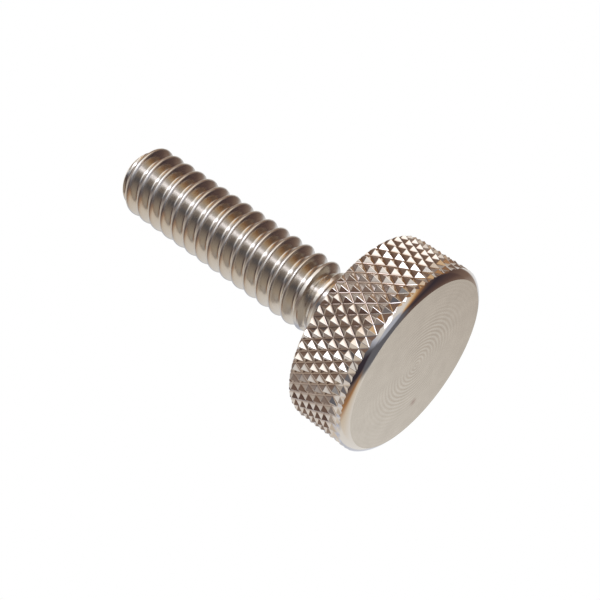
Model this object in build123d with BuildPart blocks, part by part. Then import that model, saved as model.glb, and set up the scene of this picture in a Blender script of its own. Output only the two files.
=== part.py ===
from build123d import *
from math import ceil, cos, pi, radians, sin, tan
import os

os.makedirs("parts", exist_ok=True)

# The head is a half inch disc with a knurled rim and a polished bevel round its flat face
head_diameter = 12.7
head_height = 4.4
face_diameter = 11.6
face_bevel_height = 0.51
face_bevel_bulge = 0.07
back_chamfer = 0.2

# The knurl is a quilt of sharp four-sided pyramids between two crossing sets of grooves
left_hand_groove_count = 49
right_hand_groove_count = 53
knurl_depth = 0.26
diamond_height = 1.16
knurl_turn = 22.7

# The grooves are shallow where they start at the bevel, and reach their full depth a little above it
knurl_start_depth_share = 0.25
knurl_deepening = 0.7

# The shank carries a right-hand coarse thread of twenty-four turns to the inch
shank_length = 19.05
thread_diameter = 4.75
thread_pitch = 1.0583
thread_angle = 60
thread_depth_share = 0.567
crest_flat_share = 0.14
tip_chamfer_width = 0.68

# The thread is wound in short flats, so many to the turn
flats_per_turn = 22

# The plain neck under the head is thinner than the thread, which runs out into it
neck_diameter = 4.1
neck_length = 2.2
runout_length = 1.05

# How far a turned form runs past the surface that it crosses, as shares of the sizes above
crest_lag_share = 0.25
overrun_share = 0.5
neck_in_head_share = 0.4

head_radius = head_diameter / 2
face_radius = face_diameter / 2
neck_radius = neck_diameter / 2
thread_radius = thread_diameter / 2
thread_depth = thread_depth_share * thread_pitch
root_radius = thread_radius - thread_depth
total_length = head_height + shank_length
neck_end = head_height + neck_length
runout_end = neck_end + runout_length


# A flat facet between corners that are given in order round it
def facet(*corners):
    return Face(Wire.make_polygon(corners))


# A skin wound round the axis is closed to it below its first turn and above its last
def closed_to_axis(skin, net_point, turn_steps, lane_count, turn_count, start, lead):
    for turns in (0, turn_count):
        first_step = turn_steps * turns
        middle = (0, 0, start + lead * turns + lead / 2)
        end_corners = [net_point(first_step, lane) for lane in range(lane_count + 1)]
        skin.append(facet(middle, *end_corners))
        for step in range(first_step, first_step + turn_steps):
            skin.append(facet(middle, net_point(step, 0), net_point(step + 1, 0)))
    return Solid(Shell(skin))


# The rows of knurl points climb as they go round, because one set of grooves has more starts
row_height = diamond_height / 2
knurl_steps = left_hand_groove_count + right_hand_groove_count
knurl_lanes = right_hand_groove_count - left_hand_groove_count
knurl_lead = knurl_lanes * row_height
knurl_start = -knurl_lead - row_height
knurl_turns = ceil((head_height + row_height - knurl_start) / knurl_lead)


# The depth of the grooves at a height
def groove_depth(height):
    deepened = (height - face_bevel_height) / knurl_deepening
    depth_share = knurl_start_depth_share + (1 - knurl_start_depth_share) * deepened
    return knurl_depth * min(1, max(knurl_start_depth_share, depth_share))


# A point of the knurl is a sharp tip or a crossing of two grooves, by turns along and round
def knurl_point(step, lane):
    height = knurl_start + lane * row_height + knurl_lead * step / knurl_steps
    angle = radians(knurl_turn) + 2 * pi * step / knurl_steps
    is_tip = (step + lane) % 2 == 0
    radius = head_radius if is_tip else head_radius - groove_depth(height)
    return (radius * cos(angle), radius * sin(angle), height)


# Four facets rise to each tip, so every square of the net is split from groove to groove
knurl_facets = []
for step in range(knurl_steps * knurl_turns):
    for lane in range(knurl_lanes):
        here = knurl_point(step, lane)
        beside = knurl_point(step + 1, lane)
        above = knurl_point(step, lane + 1)
        across = knurl_point(step + 1, lane + 1)
        if (step + lane) % 2 == 0:
            knurl_facets.append(facet(here, beside, above))
            knurl_facets.append(facet(beside, across, above))
        else:
            knurl_facets.append(facet(here, beside, across))
            knurl_facets.append(facet(here, across, above))
knurled_stock = closed_to_axis(
    knurl_facets, knurl_point, knurl_steps, knurl_lanes, knurl_turns, knurl_start, knurl_lead
)

# The section of the thread over one pitch is a root flat, a flank, a crest flat and a flank back down
crest_flat = crest_flat_share * thread_pitch
flank_rise = thread_depth * tan(radians(thread_angle / 2))
root_flat = thread_pitch - crest_flat - 2 * flank_rise
thread_section = [
    (root_radius, 0),
    (root_radius, root_flat),
    (thread_radius, root_flat + flank_rise),
    (thread_radius, root_flat + flank_rise + crest_flat),
]
corner_count = len(thread_section)
coil_start = neck_end - thread_pitch
turn_count = ceil((total_length - coil_start) / thread_pitch) + 1


# A corner of the section, carried round and up the helix, where the next turn follows the last corner
def thread_point(step, corner):
    step += flats_per_turn * (corner // corner_count)
    radius, height = thread_section[corner % corner_count]
    angle = 2 * pi * step / flats_per_turn
    climb = thread_pitch * step / flats_per_turn
    return (radius * cos(angle), radius * sin(angle), coil_start + height + climb)


# Each step of the coil has a flat on the root and the crest, and two facets on each slanting flank
coil_facets = []
for step in range(flats_per_turn * turn_count):
    for corner in range(corner_count):
        here = thread_point(step, corner)
        beside = thread_point(step + 1, corner)
        above = thread_point(step, corner + 1)
        across = thread_point(step + 1, corner + 1)
        if corner % 2 == 0:
            coil_facets.append(facet(here, beside, across, above))
        else:
            coil_facets.append(facet(here, beside, across))
            coil_facets.append(facet(here, across, above))
thread_coil = closed_to_axis(
    coil_facets, thread_point, flats_per_turn, corner_count, turn_count, coil_start, thread_pitch
)

# The thread thins out over its last turns towards the neck, and the neck narrows under it to its root
crest_start = neck_end + crest_lag_share * runout_length
crest_end = crest_start + runout_length
runout_rise = thread_radius - neck_radius
neck_drop = neck_radius - root_radius
clear_radius = thread_radius + thread_depth
clear_length = total_length + thread_pitch * turn_count
with BuildPart() as shank:
    add(thread_coil)
    with BuildSketch(Plane.XZ):
        with BuildLine():
            Polyline(
                (0, crest_start - overrun_share * runout_length),
                (neck_radius - overrun_share * runout_rise, crest_start - overrun_share * runout_length),
                (thread_radius + overrun_share * runout_rise, crest_end + overrun_share * runout_length),
                (clear_radius, crest_end + overrun_share * runout_length),
                (clear_radius, total_length - tip_chamfer_width - thread_depth),
                (thread_radius - tip_chamfer_width, total_length),
                (0, total_length),
                close=True,
            )
        make_face()
    revolve(axis=Axis.Z, mode=Mode.INTERSECT)
    with BuildSketch(Plane.XZ):
        with BuildLine():
            Polyline(
                (0, head_height - neck_in_head_share * head_height),
                (neck_radius, head_height - neck_in_head_share * head_height),
                (neck_radius, neck_end),
                (root_radius - overrun_share * neck_drop, runout_end + overrun_share * runout_length),
                (0, runout_end + overrun_share * runout_length),
                close=True,
            )
        make_face()
    revolve(axis=Axis.Z)

# The head is the knurled stock turned to its flat face, its rounded bevel and its chamfered back
rim_clear = overrun_share * back_chamfer
rim_radius = head_radius + rim_clear
bevel_rise = rim_clear * face_bevel_height / (head_radius - face_radius)
with BuildPart() as thumb_screw:
    add(knurled_stock)
    with BuildSketch(Plane.XZ):
        with BuildLine():
            Line((0, 0), (face_radius, 0))
            SagittaArc((face_radius, 0), (head_radius, face_bevel_height), -face_bevel_bulge)
            Polyline(
                (head_radius, face_bevel_height),
                (rim_radius, face_bevel_height + bevel_rise),
                (rim_radius, head_height - back_chamfer - rim_clear),
                (head_radius - back_chamfer, head_height),
                (0, head_height),
                (0, 0),
            )
        make_face()
    revolve(axis=Axis.Z, mode=Mode.INTERSECT)
    add(shank.part)

thumb_screw.part.label = "thumb_screw"
export_step(thumb_screw.part, "parts/thumb_screw.step")
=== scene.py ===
import math

import bmesh
import bpy
from mathutils import Matrix, Vector


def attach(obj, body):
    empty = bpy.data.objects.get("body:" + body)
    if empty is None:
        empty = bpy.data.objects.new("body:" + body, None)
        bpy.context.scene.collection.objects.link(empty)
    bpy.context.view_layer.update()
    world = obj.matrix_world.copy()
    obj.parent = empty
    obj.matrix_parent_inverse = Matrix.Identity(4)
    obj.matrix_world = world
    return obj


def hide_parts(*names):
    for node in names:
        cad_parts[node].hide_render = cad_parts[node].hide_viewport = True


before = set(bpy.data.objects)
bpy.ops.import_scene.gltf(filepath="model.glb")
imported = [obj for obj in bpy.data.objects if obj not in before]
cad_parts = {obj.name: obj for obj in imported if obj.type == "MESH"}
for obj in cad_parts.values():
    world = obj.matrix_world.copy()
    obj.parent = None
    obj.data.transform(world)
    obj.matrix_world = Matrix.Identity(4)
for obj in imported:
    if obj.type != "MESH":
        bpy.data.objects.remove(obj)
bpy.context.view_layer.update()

MM = 0.001

# The head is a half inch disc with a knurled rim and a polished bevel round its flat face
HEAD_RADIUS = 6.35 * MM
HEAD_HEIGHT = 4.4 * MM
FACE_RADIUS = 5.8 * MM
BEVEL_HEIGHT = 0.51 * MM
BEVEL_BULGE = 0.07 * MM
BACK_CHAMFER = 0.2 * MM
BEVEL_STEPS = 10
HEAD_STEPS = 200

# The knurl is a quilt of pyramids between two crossing sets of grooves. One set has four grooves more,
# so the rows of points climb by four rows a turn. The grooves are shallow where they start at the bevel
LEFT_HAND_GROOVES = 49
RIGHT_HAND_GROOVES = 53
KNURL_STEPS = LEFT_HAND_GROOVES + RIGHT_HAND_GROOVES
KNURL_ROWS = 14
ROW_HEIGHT = 0.58 * MM
KNURL_LEAD = (RIGHT_HAND_GROOVES - LEFT_HAND_GROOVES) * ROW_HEIGHT
KNURL_START = -KNURL_LEAD - ROW_HEIGHT
KNURL_TURN = math.radians(22.7)
KNURL_DEPTH = 0.26 * MM
KNURL_START_DEPTH = KNURL_DEPTH / 4
KNURL_DEEPENING = 0.7 * MM
GROOVE_ROUNDING = 0.05 * MM
RIDGE_ROUNDING = 0.015 * MM

# The plain neck under the head, and the length over which the thread thins out into it
NECK_RADIUS = 2.05 * MM
NECK_END = HEAD_HEIGHT + 2.2 * MM
RUNOUT_LENGTH = 1.05 * MM
RUNOUT_START = NECK_END + RUNOUT_LENGTH / 4
SHANK_IN_HEAD = 2.6 * MM

# The thread has twenty-four turns to the inch, and its corners are a little rounded by the rolls
PITCH = 1.0583 * MM
THREAD_RADIUS = 2.375 * MM
ROOT_RADIUS = 1.775 * MM
ROOT_FLAT = 0.217 * MM
FLANK_RISE = 0.3465 * MM
CREST_FLAT = 0.148 * MM
CORNER_ROUNDING = 0.07 * MM
COIL_START = NECK_END - 4 * PITCH
COIL_TURNS = 22
COIL_STEPS = 96
TIP = HEAD_HEIGHT + 19.05 * MM
TIP_RADIUS = THREAD_RADIUS - 0.68 * MM

# Under the run-out the neck narrows in a cone, which ends inside the root of the thread
NECK_CONE_END = NECK_END + 1.5 * RUNOUT_LENGTH
NECK_CONE_RADIUS = ROOT_RADIUS - (NECK_RADIUS - ROOT_RADIUS) / 2

# Corners nearer than this are one, where a spin closes and where a cut leaves a sliver
SEAM = 0.0002 * MM
SLIVER = 0.001 * MM

# Edges sharper than this stay crisp
CRISP_EDGE = math.radians(24)

# A face is level when its normal is this near to upright
LEVEL = 0.999

# Places of the finishes in the piece's list of materials
KNURL, BEVEL, FACE, TURNED, THREAD = range(5)

# The small rusty mark on the face
RUST_PLACE = Vector((3.24, 1.57, 0)) * MM
RUST_RADIUS = 0.42 * MM

# Sockets of a Mix node that mixes colours
COLOUR_A, COLOUR_B, MIXED = 6, 7, 2

# The length of a Wave texture's wave at a scale of 1
WAVE = math.pi / 10


def linear(hex_colour):
    """The linear colour of an sRGB hex value."""
    shares = [int(hex_colour[i:i + 2], 16) / 255 for i in (1, 3, 5)]
    return [s / 12.92 if s <= 0.04045 else ((s + 0.055) / 1.055) ** 2.4 for s in shares] + [1]


def add_node(tree, kind, values=None, links=None, **settings):
    """Adds a node with its settings, the values of its sockets and what is linked to them."""
    node = tree.nodes.new(kind)
    for name, value in settings.items():
        setattr(node, name, value)
    for socket, value in (values or {}).items():
        node.inputs[socket].default_value = value
    for socket, source in (links or {}).items():
        tree.links.new(source, node.inputs[socket])
    return node


def new_finish(name):
    """An empty material, with its node tree."""
    finish = bpy.data.materials.new(name)
    finish.use_nodes = True
    finish.node_tree.nodes.clear()
    return finish, finish.node_tree


# Knurled stainless steel, pressed bright by the rolls: small crisp mirrors, with painted shade that browns
# the foot of the grooves
def knurled_steel():
    finish, tree = new_finish("knurled_stainless_steel")
    place = add_node(tree, "ShaderNodeTexCoord").outputs["Object"]
    grit = add_node(tree, "ShaderNodeTexNoise", {"Scale": 1 / (0.25 * MM), "Detail": 3}, {"Vector": place})
    rough = add_node(
        tree, "ShaderNodeMapRange", {"To Min": 0.06, "To Max": 0.16}, {"Value": grit.outputs["Fac"]},
    )
    flat_place = add_node(tree, "ShaderNodeVectorMath", {1: (1, 1, 0)}, {0: place}, operation="MULTIPLY")
    radius = add_node(
        tree, "ShaderNodeVectorMath", None, {0: flat_place.outputs["Vector"]}, operation="LENGTH",
    )
    groove_foot = HEAD_RADIUS - KNURL_DEPTH
    # Painted shade: the colour darkens to brown towards the foot of the grooves, where shade falls between
    # the facets
    out_of_painted_groove_shade = add_node(
        tree, "ShaderNodeMapRange", {"From Min": groove_foot, "From Max": groove_foot + 0.09 * MM},
        {"Value": radius.outputs["Value"]},
    )
    tone = add_node(
        tree, "ShaderNodeMix", {COLOUR_A: linear("#A08C7E"), COLOUR_B: linear("#CEC6BE")},
        {"Factor": out_of_painted_groove_shade.outputs["Result"]}, data_type="RGBA",
    )
    steel = add_node(
        tree, "ShaderNodeBsdfPrincipled", {"Metallic": 1},
        {"Base Color": tone.outputs[MIXED], "Roughness": rough.outputs["Result"]},
    )
    add_node(tree, "ShaderNodeOutputMaterial", None, {"Surface": steel.outputs["BSDF"]})
    return finish


# Polished stainless steel on the bevel and the small chamfer: clear reflections
def polished_steel():
    finish, tree = new_finish("polished_stainless_steel")
    place = add_node(tree, "ShaderNodeTexCoord").outputs["Object"]
    grit = add_node(tree, "ShaderNodeTexNoise", {"Scale": 1 / (0.4 * MM), "Detail": 4}, {"Vector": place})
    rough = add_node(
        tree, "ShaderNodeMapRange", {"To Min": 0.04, "To Max": 0.1}, {"Value": grit.outputs["Fac"]},
    )
    steel = add_node(
        tree, "ShaderNodeBsdfPrincipled", {"Base Color": linear("#CFC8BF"), "Metallic": 1},
        {"Roughness": rough.outputs["Result"]},
    )
    add_node(tree, "ShaderNodeOutputMaterial", None, {"Surface": steel.outputs["BSDF"]})
    return finish


# Faced stainless steel: satin and a little cloudy, with the rings that the turning tool left, which fade
# towards the rim, and one small rusty mark
def faced_steel():
    finish, tree = new_finish("faced_stainless_steel")
    place = add_node(tree, "ShaderNodeTexCoord").outputs["Object"]
    radius = add_node(tree, "ShaderNodeVectorMath", None, {0: place}, operation="LENGTH")
    rings = add_node(
        tree, "ShaderNodeTexWave", {"Scale": WAVE / (0.27 * MM), "Distortion": 0.6, "Detail": 1},
        {"Vector": place}, wave_type="RINGS", rings_direction="Z",
    )
    depth = add_node(
        tree, "ShaderNodeMapRange",
        {"From Min": 2.6 * MM, "From Max": 4.4 * MM, "To Min": 0.6, "To Max": 0.1},
        {"Value": radius.outputs["Value"]},
    )
    bump = add_node(
        tree, "ShaderNodeBump", {"Distance": 0.012 * MM},
        {"Height": rings.outputs["Fac"], "Strength": depth.outputs["Result"]},
    )
    clouds = add_node(tree, "ShaderNodeTexNoise", {"Scale": 1 / (1.1 * MM), "Detail": 4}, {"Vector": place})
    tone = add_node(
        tree, "ShaderNodeMix", {COLOUR_A: linear("#C0B9AE"), COLOUR_B: linear("#D6CFC4")},
        {"Factor": clouds.outputs["Fac"]}, data_type="RGBA",
    )
    to_mark = add_node(tree, "ShaderNodeVectorMath", {1: RUST_PLACE}, {0: place}, operation="DISTANCE")
    rust = add_node(
        tree, "ShaderNodeMapRange", {"From Min": RUST_RADIUS, "From Max": 0, "To Max": 0.5},
        {"Value": to_mark.outputs["Value"]}, interpolation_type="SMOOTHSTEP",
    )
    marked = add_node(
        tree, "ShaderNodeMix", {COLOUR_B: linear("#8A6456")},
        {"Factor": rust.outputs["Result"], COLOUR_A: tone.outputs[MIXED]}, data_type="RGBA",
    )
    steel = add_node(
        tree, "ShaderNodeBsdfPrincipled", {"Metallic": 1, "Roughness": 0.27},
        {"Base Color": marked.outputs[MIXED], "Normal": bump.outputs["Normal"]},
    )
    add_node(tree, "ShaderNodeOutputMaterial", None, {"Surface": steel.outputs["BSDF"]})
    return finish


# Turned stainless steel on the back of the head: satin, with closer rings
def turned_steel():
    finish, tree = new_finish("turned_stainless_steel")
    place = add_node(tree, "ShaderNodeTexCoord").outputs["Object"]
    rings = add_node(
        tree, "ShaderNodeTexWave", {"Scale": WAVE / (0.2 * MM), "Distortion": 0.4, "Detail": 1},
        {"Vector": place}, wave_type="RINGS", rings_direction="Z",
    )
    bump = add_node(
        tree, "ShaderNodeBump", {"Strength": 0.6, "Distance": 0.006 * MM}, {"Height": rings.outputs["Fac"]},
    )
    steel = add_node(
        tree, "ShaderNodeBsdfPrincipled",
        {"Base Color": linear("#C4BCB2"), "Metallic": 1, "Roughness": 0.25},
        {"Normal": bump.outputs["Normal"]},
    )
    add_node(tree, "ShaderNodeOutputMaterial", None, {"Surface": steel.outputs["BSDF"]})
    return finish


# Rolled stainless steel on the thread: half bright, duller on the crests, with streaks that run round it
def rolled_steel():
    finish, tree = new_finish("rolled_stainless_steel")
    place = add_node(tree, "ShaderNodeTexCoord").outputs["Object"]
    stretched = add_node(
        tree, "ShaderNodeMapping", {"Scale": (0.12, 0.12, 1)}, {"Vector": place}, vector_type="POINT",
    )
    streaks = add_node(
        tree, "ShaderNodeTexNoise", {"Scale": 1 / (0.09 * MM), "Detail": 3},
        {"Vector": stretched.outputs["Vector"]},
    )
    rough = add_node(
        tree, "ShaderNodeMapRange", {"To Min": 0.1, "To Max": 0.27}, {"Value": streaks.outputs["Fac"]},
    )
    flat_place = add_node(tree, "ShaderNodeVectorMath", {1: (1, 1, 0)}, {0: place}, operation="MULTIPLY")
    radius = add_node(
        tree, "ShaderNodeVectorMath", None, {0: flat_place.outputs["Vector"]}, operation="LENGTH",
    )
    worn = add_node(
        tree, "ShaderNodeMapRange",
        {"From Min": THREAD_RADIUS - 0.175 * MM, "From Max": THREAD_RADIUS - 0.035 * MM, "To Max": 0.12},
        {"Value": radius.outputs["Value"]},
    )
    dullness = add_node(
        tree, "ShaderNodeMath", None, {0: rough.outputs["Result"], 1: worn.outputs["Result"]},
        operation="ADD",
    )
    bump = add_node(
        tree, "ShaderNodeBump", {"Strength": 0.4, "Distance": 0.004 * MM},
        {"Height": streaks.outputs["Fac"]},
    )
    steel = add_node(
        tree, "ShaderNodeBsdfPrincipled", {"Base Color": linear("#C8C2BA"), "Metallic": 1},
        {"Roughness": dullness.outputs[0], "Normal": bump.outputs["Normal"]},
    )
    add_node(tree, "ShaderNodeOutputMaterial", None, {"Surface": steel.outputs["BSDF"]})
    return finish


def new_piece(name, bm, finishes):
    """Puts a mesh into the scene at the origin, with the finishes in their places."""
    mesh = bpy.data.meshes.new(name)
    bm.to_mesh(mesh)
    bm.free()
    for finish in finishes:
        mesh.materials.append(finish)
    piece = bpy.data.objects.new(name, mesh)
    bpy.context.scene.collection.objects.link(piece)
    return piece


def draw(bm, outline):
    """Draws an open line through (radius, height) corners beside the screw's axis."""
    corners = [bm.verts.new((radius, 0, height)) for radius, height in outline]
    for pair in zip(corners, corners[1:]):
        bm.edges.new(pair)
    return corners


def spin_round(bm, steps, rise=0.0):
    """Spins what is drawn once round the screw's axis, with a rise if it is a coil."""
    bmesh.ops.spin(
        bm, geom=bm.verts[:] + bm.edges[:], axis=(0, 0, 1), cent=(0, 0, 0), dvec=(0, 0, rise / steps),
        angle=math.tau, steps=steps, use_merge=not rise,
    )
    bmesh.ops.remove_doubles(bm, verts=bm.verts[:], dist=SEAM)


def round_over(bm, edges, width, segments):
    """Rounds edges over, as far as their neighbours leave room."""
    bmesh.ops.bevel(
        bm, geom=edges, offset=width, offset_type="OFFSET", segments=segments, profile=0.5,
        affect="EDGES", material=-1, clamp_overlap=True,
    )


def trim(bm, low, high):
    """Cuts away what lies below one height and above another."""
    for height, way in ((low, -1), (high, 1)):
        bmesh.ops.bisect_plane(
            bm, geom=bm.verts[:] + bm.edges[:] + bm.faces[:], plane_co=(0, 0, height),
            plane_no=(0, 0, way), clear_outer=True,
        )


def close_ends(bm):
    """Fills every open ring, and turns all faces outwards."""
    open_edges = [edge for edge in bm.edges if edge.is_boundary]
    bmesh.ops.holes_fill(bm, edges=open_edges, sides=0)
    bmesh.ops.recalc_face_normals(bm, faces=bm.faces[:])


def knurled_blank(finishes):
    """A round of stock with the knurl rolled into its rim, longer than the head at both ends."""
    bm = bmesh.new()
    draw(bm, [(HEAD_RADIUS, KNURL_START + row * ROW_HEIGHT) for row in range(KNURL_ROWS + 1)])
    spin_round(bm, KNURL_STEPS, KNURL_LEAD)
    tips, crossings = set(), []
    for vert in bm.verts:
        step = round(math.atan2(vert.co.y, vert.co.x) / math.tau * KNURL_STEPS) % KNURL_STEPS
        row = round((vert.co.z - KNURL_START - KNURL_LEAD * step / KNURL_STEPS) / ROW_HEIGHT)
        if (step + row) % 2:
            crossings.append(vert)
        else:
            tips.add(vert)
    for vert in crossings:
        deepened = max(0, min(1, (vert.co.z - BEVEL_HEIGHT) / KNURL_DEEPENING))
        depth = KNURL_START_DEPTH + deepened * (KNURL_DEPTH - KNURL_START_DEPTH)
        vert.co.xy *= 1 - depth / HEAD_RADIUS
    bmesh.ops.connect_verts(bm, verts=crossings)
    bmesh.ops.rotate(bm, verts=bm.verts[:], cent=(0, 0, 0), matrix=Matrix.Rotation(KNURL_TURN, 3, "Z"))
    grooves = [edge for edge in bm.edges if not edge.is_boundary and not tips.intersection(edge.verts)]
    round_over(bm, grooves, GROOVE_ROUNDING, segments=3)
    ridges = [edge for edge in bm.edges if not edge.is_boundary and tips.intersection(edge.verts)]
    round_over(bm, ridges, RIDGE_ROUNDING, segments=1)
    trim(bm, -BEVEL_HEIGHT, HEAD_HEIGHT + BEVEL_HEIGHT)
    close_ends(bm)
    for face in bm.faces:
        face.material_index = KNURL
    return new_piece("knurled_blank", bm, finishes)


def head_form(finishes):
    """The turned form of the head: flat face, rounded bevel, room for the knurl, chamfered back."""
    run, rise = HEAD_RADIUS - FACE_RADIUS, BEVEL_HEIGHT
    across = Vector((rise, -run)).normalized() * BEVEL_BULGE
    outline = [(0, 0)]
    for step in range(BEVEL_STEPS + 1):
        share = step / BEVEL_STEPS
        bulge = across * 4 * share * (1 - share)
        outline.append((FACE_RADIUS + run * share + bulge.x, rise * share + bulge.y))
    clear = BACK_CHAMFER / 2
    outline += [
        (HEAD_RADIUS + clear, BEVEL_HEIGHT + clear * rise / run),
        (HEAD_RADIUS + clear, HEAD_HEIGHT - BACK_CHAMFER - clear),
        (HEAD_RADIUS - BACK_CHAMFER, HEAD_HEIGHT),
        (0, HEAD_HEIGHT),
    ]
    bm = bmesh.new()
    draw(bm, outline)
    spin_round(bm, HEAD_STEPS)
    bmesh.ops.recalc_face_normals(bm, faces=bm.faces[:])
    for face in bm.faces:
        if face.normal.z < -LEVEL:
            face.material_index = FACE
        elif face.normal.z > LEVEL:
            face.material_index = TURNED
        else:
            face.material_index = BEVEL
    return new_piece("head_form", bm, finishes)


def shank_limits(height):
    """The least and the greatest radius of the shank at a height, from its neck and its two end cones."""
    least = 0.0
    if height < NECK_END:
        least = NECK_RADIUS
    elif height < NECK_CONE_END:
        share = (height - NECK_END) / (NECK_CONE_END - NECK_END)
        least = NECK_RADIUS + share * (NECK_CONE_RADIUS - NECK_RADIUS)
    greatest = NECK_RADIUS + (height - RUNOUT_START) / RUNOUT_LENGTH * (THREAD_RADIUS - NECK_RADIUS)
    return least, max(least, min(greatest, TIP_RADIUS + TIP - height))


def threaded_shank(finishes):
    """The coil of the thread, thinned to the neck and chamfered at the tip, and closed inside the head."""
    section = [
        (ROOT_RADIUS, 0),
        (ROOT_RADIUS, ROOT_FLAT),
        (THREAD_RADIUS, ROOT_FLAT + FLANK_RISE),
        (THREAD_RADIUS, ROOT_FLAT + FLANK_RISE + CREST_FLAT),
    ]
    outline = [
        (radius, COIL_START + turn * PITCH + height)
        for turn in range(COIL_TURNS) for radius, height in section
    ]
    outline.append((ROOT_RADIUS, COIL_START + COIL_TURNS * PITCH))
    bm = bmesh.new()
    corners = draw(bm, outline)
    bmesh.ops.bevel(
        bm, geom=corners[1:-1], offset=CORNER_ROUNDING, offset_type="OFFSET", segments=3, profile=0.5,
        affect="VERTICES", material=-1,
    )
    flanks = [edge for edge in bm.edges if edge.calc_length() > FLANK_RISE]
    bmesh.ops.subdivide_edges(bm, edges=flanks, cuts=3)
    spin_round(bm, COIL_STEPS, PITCH)
    for vert in bm.verts:
        radius = vert.co.xy.length
        least, greatest = shank_limits(vert.co.z)
        vert.co.xy *= max(least, min(greatest, radius)) / radius
    trim(bm, SHANK_IN_HEAD, TIP)
    close_ends(bm)
    for face in bm.faces:
        face.material_index = THREAD
    return new_piece("threaded_shank", bm, finishes)


def cut_with(piece, form, operation):
    """Leaves what the piece and the form share, or joins them into one skin."""
    cut = piece.modifiers.new("cut", "BOOLEAN")
    cut.operation = operation
    cut.solver = "EXACT"
    cut.object = form
    bpy.context.view_layer.update()
    whole = piece.evaluated_get(bpy.context.evaluated_depsgraph_get())
    mesh = bpy.data.meshes.new_from_object(whole)
    piece.modifiers.remove(cut)
    piece.data = mesh
    bpy.data.objects.remove(form)


def put_in_order(bm):
    """Numbers corners, edges and faces by their places, so that every run welds the same ones."""
    by_place = sorted(bm.verts, key=lambda corner: [round(distance / MM, 5) for distance in corner.co])
    for number, corner in enumerate(by_place):
        corner.index = number
    bm.verts.sort()
    for parts in (bm.edges, bm.faces):
        by_corners = sorted(parts, key=lambda part: sorted(corner.index for corner in part.verts))
        for number, part in enumerate(by_corners):
            part.index = number
        parts.sort()


def weld(piece):
    """Closes up the slivers that the cuts leave."""
    bm = bmesh.new()
    bm.from_mesh(piece.data)
    put_in_order(bm)
    bmesh.ops.remove_doubles(bm, verts=bm.verts[:], dist=SLIVER)
    bmesh.ops.dissolve_degenerate(bm, edges=bm.edges[:], dist=SLIVER)
    bmesh.ops.recalc_face_normals(bm, faces=bm.faces[:])
    bm.to_mesh(piece.data)
    bm.free()


# The facets of the knurl are flat, and the rest of the screw is smooth between its crisp edges
finishes = [knurled_steel(), polished_steel(), faced_steel(), turned_steel(), rolled_steel()]
screw = knurled_blank(finishes)
cut_with(screw, head_form(finishes), "INTERSECT")
cut_with(screw, threaded_shank(finishes), "UNION")
weld(screw)
screw.name = "thumb_screw_steel"
screw.data.shade_smooth()
screw.data.set_sharp_from_angle(angle=CRISP_EDGE)
for face in screw.data.polygons:
    if face.material_index == KNURL:
        face.use_smooth = False
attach(screw, "root")
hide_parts("thumb_screw")

# The camera looks up at the head from below the floor, as the photograph does
CAMERA_PLACE = Vector((-74.594, 8.61, -29.056)) * MM
VIEW = Vector((0.8887, -0.0935, 0.4488))
PICTURE_TOP = Vector((-0.3412, -0.7886, 0.5116))
camera = bpy.data.objects.new("camera", bpy.data.cameras.new("camera"))
bpy.context.scene.collection.objects.link(camera)
back = -VIEW.normalized()
right = PICTURE_TOP.cross(back).normalized()
turned = Matrix((right, back.cross(right), back)).transposed().to_4x4()
camera.matrix_world = Matrix.Translation(CAMERA_PLACE) @ turned
camera.data.lens = 82.5
camera.data.clip_start = 1 * MM
bpy.context.scene.camera = camera

# White for the eye and for the steel, and a plain soft light for the rest
world = bpy.data.worlds.new("studio")
bpy.context.scene.world = world
world.use_nodes = True
surround = world.node_tree
surround.nodes.clear()
path = add_node(surround, "ShaderNodeLightPath")
seen_or_mirrored = add_node(
    surround, "ShaderNodeMath", None,
    {0: path.outputs["Is Camera Ray"], 1: path.outputs["Is Glossy Ray"]}, operation="MAXIMUM",
)
shown = add_node(
    surround, "ShaderNodeMath", None,
    {0: seen_or_mirrored.outputs[0], 1: path.outputs["Is Transmission Ray"]}, operation="MAXIMUM",
)
strength = add_node(
    surround, "ShaderNodeMapRange", {"To Min": 0.55, "To Max": 1}, {"Value": shown.outputs[0]},
)
light = add_node(
    surround, "ShaderNodeBackground", {"Color": (1, 1, 1, 1)}, {"Strength": strength.outputs["Result"]},
)
add_node(surround, "ShaderNodeOutputWorld", None, {"Surface": light.outputs["Background"]})

# The cloths and cards of the tent, which the steel shows and nothing else does
WHITE = "#FFFFFF"
CREAM = "#F0E4D4"
PALE = "#D0C8C0"
SKY = "#CCD4E8"
AMBER = "#F8D8AC"
TAN = "#BC8A5C"
GREY = "#A89E9A"
UMBER = "#8E786C"
SLATE = "#747680"
BROWN = "#685450"
DARK = "#403A44"

# The tent has four courses of cloth, one above the other. Each course has the heights in degrees
# over which it takes over from the one below, then its cloths by bearing in degrees
COURSES = [
    (-90, -90, [
        (-180, WHITE), (-130, WHITE), (-119, AMBER), (-109, TAN), (-99, BROWN), (-84, DARK), (-50, BROWN),
        (-30, UMBER), (-14, PALE), (4, WHITE), (24, WHITE), (62, CREAM), (80, TAN), (98, UMBER), (110, DARK),
        (142, DARK), (155, SLATE), (168, SKY),
    ]),
    (-23, -18, [
        (-180, WHITE), (-110, WHITE), (-98, CREAM), (-82, TAN), (-66, BROWN), (-36, UMBER), (-14, PALE),
        (4, WHITE), (50, WHITE), (74, GREY), (104, UMBER), (122, BROWN), (142, UMBER), (152, GREY),
        (162, WHITE),
    ]),
    (-4, 2, [
        (-180, WHITE), (-148, WHITE), (-128, AMBER), (-112, TAN), (-96, UMBER), (-80, UMBER), (-62, PALE),
        (-44, WHITE), (40, SKY), (70, WHITE), (102, CREAM), (118, PALE), (136, GREY), (150, SLATE),
        (165, SLATE), (177, WHITE),
    ]),
    (37, 45, [
        (-180, UMBER), (-96, UMBER), (-70, PALE), (-45, CREAM), (96, WHITE), (116, PALE), (134, GREY),
        (160, UMBER),
    ]),
]

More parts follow.
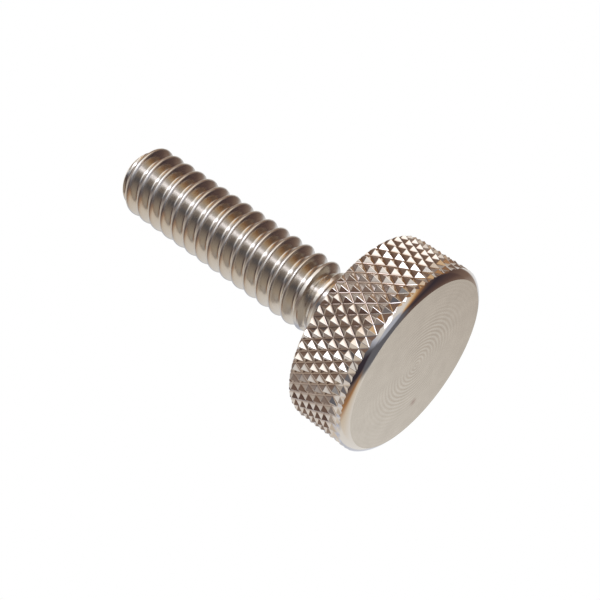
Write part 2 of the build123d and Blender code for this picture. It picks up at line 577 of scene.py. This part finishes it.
# The cards in front of the cloths: bearing and height in degrees, the degrees from there at which
# each card ends and is whole, and its colour
CARDS = [
    (0, -90, 27, 17, SLATE),
    (-150, -70, 16, 8, SKY),
    (174, 26, 13, 7, GREY),
]


def towards(bearing, height):
    """The direction of a bearing and a height in degrees, as seen from the screw."""
    bearing, height = math.radians(bearing), math.radians(height)
    along = math.cos(height)
    return Vector((along * math.cos(bearing), along * math.sin(bearing), math.sin(height)))


def hang_cloths(ramp, cloths):
    """Sets a colour ramp's stops from bearings and colours, and closes the ring at the far side."""
    while len(ramp.elements) > 1:
        ramp.elements.remove(ramp.elements[0])
    for number, (bearing, colour) in enumerate(cloths + [(180, cloths[0][1])]):
        place = (bearing + 180) / 360
        stop = ramp.elements.new(place) if number else ramp.elements[0]
        stop.position = place
        stop.color = linear(colour)


# Plain cloths and cards that glow softly, each course over the one below and the cards over all
def tent_cloths():
    finish, tree = new_finish("tent_cloths")
    place = add_node(tree, "ShaderNodeTexCoord").outputs["Object"]
    way = add_node(tree, "ShaderNodeVectorMath", None, {0: place}, operation="NORMALIZE").outputs["Vector"]
    side = add_node(tree, "ShaderNodeSeparateXYZ", None, {"Vector": way})
    bearing = add_node(
        tree, "ShaderNodeMath", None, {0: side.outputs["Y"], 1: side.outputs["X"]}, operation="ARCTAN2",
    )
    round_share = add_node(
        tree, "ShaderNodeMapRange", {"From Min": -math.pi, "From Max": math.pi},
        {"Value": bearing.outputs[0]},
    )
    layers = []
    for low, high, cloths in COURSES:
        course = add_node(tree, "ShaderNodeValToRGB", None, {"Fac": round_share.outputs["Result"]})
        hang_cloths(course.color_ramp, cloths)
        limits = [math.sin(math.radians(height)) for height in (low, high)]
        layers.append((side.outputs["Z"], limits, course.outputs["Color"]))
    for card_bearing, height, outer, inner, colour in CARDS:
        facing = add_node(
            tree, "ShaderNodeVectorMath", {1: towards(card_bearing, height)}, {0: way},
            operation="DOT_PRODUCT",
        )
        card = add_node(tree, "ShaderNodeRGB")
        card.outputs[0].default_value = linear(colour)
        limits = [math.cos(math.radians(edge)) for edge in (outer, inner)]
        layers.append((facing.outputs["Value"], limits, card.outputs[0]))
    seen = layers[0][2]
    for reach, (start, whole), colour in layers[1:]:
        share = add_node(
            tree, "ShaderNodeMapRange", {"From Min": start, "From Max": whole}, {"Value": reach},
            interpolation_type="SMOOTHSTEP",
        )
        seen = add_node(
            tree, "ShaderNodeMix", None,
            {"Factor": share.outputs["Result"], COLOUR_A: seen, COLOUR_B: colour}, data_type="RGBA",
        ).outputs[MIXED]
    glow = add_node(tree, "ShaderNodeEmission", {"Strength": 1}, {"Color": seen})
    add_node(tree, "ShaderNodeOutputMaterial", None, {"Surface": glow.outputs["Emission"]})
    return finish


# Pale matt board, which thins out to the white around it and is clear from below
def floor_board():
    finish, tree = new_finish("pale_matt_board")
    place = add_node(tree, "ShaderNodeTexCoord").outputs["Object"]
    away = add_node(tree, "ShaderNodeVectorMath", None, {0: place}, operation="LENGTH")
    thinning = add_node(
        tree, "ShaderNodeMapRange", {"From Min": 60 * MM, "From Max": 160 * MM},
        {"Value": away.outputs["Value"]}, interpolation_type="SMOOTHSTEP",
    )
    below = add_node(tree, "ShaderNodeNewGeometry").outputs["Backfacing"]
    clear = add_node(
        tree, "ShaderNodeMath", None, {0: thinning.outputs["Result"], 1: below}, operation="MAXIMUM",
    )
    board = add_node(tree, "ShaderNodeBsdfDiffuse", {"Color": linear("#F2F0EC")})
    gone = add_node(tree, "ShaderNodeBsdfTransparent")
    mixed = add_node(
        tree, "ShaderNodeMixShader", None,
        {"Fac": clear.outputs[0], 1: board.outputs["BSDF"], 2: gone.outputs["BSDF"]},
    )
    add_node(tree, "ShaderNodeOutputMaterial", None, {"Surface": mixed.outputs["Shader"]})
    return finish


def soft_lamp(name, place, width, height, power):
    """An area lamp that faces the screw."""
    lamp = bpy.data.objects.new(name, bpy.data.lights.new(name, "AREA"))
    bpy.context.scene.collection.objects.link(lamp)
    lamp.data.shape = "RECTANGLE"
    lamp.data.size = width
    lamp.data.size_y = height
    lamp.data.energy = power
    lamp.location = place
    lamp.rotation_mode = "QUATERNION"
    lamp.rotation_quaternion = lamp.location.to_track_quat("Z", "Y")
    return lamp


# The tent hangs all round the screw
bm = bmesh.new()
bmesh.ops.create_uvsphere(bm, u_segments=48, v_segments=24, radius=600 * MM)
tent = new_piece("tent", bm, [tent_cloths()])
tent.data.shade_smooth()
tent.visible_camera = False
tent.visible_diffuse = False
tent.visible_shadow = False
tent.visible_transmission = False

# The floor lies just under the face of the head
bm = bmesh.new()
bmesh.ops.create_circle(bm, cap_ends=True, segments=64, radius=200 * MM)
bmesh.ops.translate(bm, verts=bm.verts[:], vec=(0, 0, -0.01 * MM))
floor = new_piece("floor", bm, [floor_board()])
floor.visible_glossy = False
floor.visible_shadow = False

# A tall strip lamp beside the camera draws the bright line down the thread
LAMP_DISTANCE = 400 * MM
strip = soft_lamp(
    "strip_lamp", LAMP_DISTANCE * towards(-163, -6), width=90 * MM, height=1000 * MM, power=1.1,
)
strip.data.color = linear(SKY)[:3]

# A wide lamp low beside the camera whitens the facets of the knurl that slope to the face
soft_lamp(
    "low_lamp", LAMP_DISTANCE * towards(-146, -11), width=660 * MM, height=160 * MM, power=0.27,
)

# A lamp overhead lights the floor and is not seen in the steel
overhead = soft_lamp(
    "overhead_lamp", Vector((-200, -160, 400)) * MM, width=300 * MM, height=300 * MM, power=1.6,
)
overhead.visible_glossy = False

bpy.context.scene.view_settings.view_transform = "Standard"
